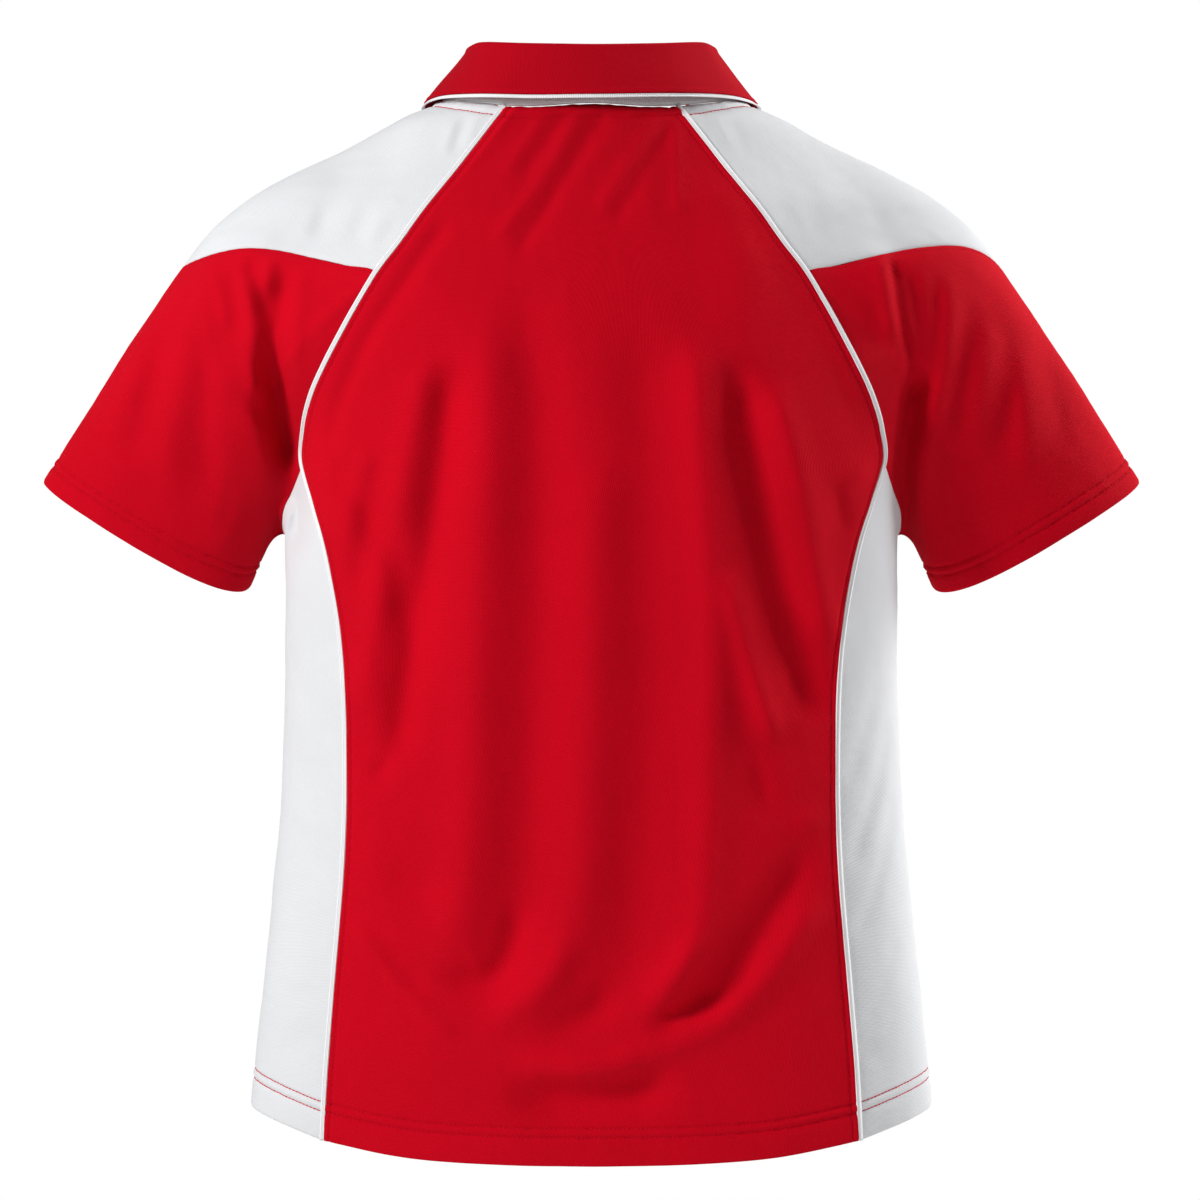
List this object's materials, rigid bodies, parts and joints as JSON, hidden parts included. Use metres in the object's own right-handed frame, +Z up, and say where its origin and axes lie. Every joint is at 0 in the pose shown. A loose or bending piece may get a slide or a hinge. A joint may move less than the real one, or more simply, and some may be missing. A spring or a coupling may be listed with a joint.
{
  "type": "polo shirt",
  "caption": "Short-sleeved raglan polo shirt in contrasting knit, filled out as if worn, with a folded collar, buttoned placket, side panels and piping.",
  "frame": {"origin": "middle of the neck opening, level with the neck seam at the back", "axes": "+Z up, +Y the way the wearer faces, +X the wearer's right; the back of the shirt faces -Y"},
  "size_m": [0.7808, 0.2547, 0.7688],
  "materials": {
    "red_knit": "fine matt polyester knit with a soft sheen, red",
    "white_knit": "fine matt polyester knit, white",
    "red_rib": "flat knitted collar rib, red",
    "white_trim": "white knitted tape and collar edging",
    "button": "white polyester button, satin"
  },
  "bodies": {
    "root": {"back_panel": "red_knit", "front_panel": "red_knit", "sleeve_left": "red_knit", "sleeve_right": "red_knit", "side_panel_left": "white_knit", "side_panel_right": "white_knit", "shoulder_yoke_left": "white_knit", "shoulder_yoke_right": "white_knit", "collar_leaf": "red_rib", "collar_stand": "white_trim", "collar_tipping": "white_trim", "piping_back_left": "white_trim", "piping_back_right": "white_trim", "piping_front_left": "white_trim", "piping_front_right": "white_trim", "placket_upper": "red_knit", "placket_under": "red_knit", "button_1": "button", "button_2": "button", "button_3": "button"}
  },
  "joints": []
}
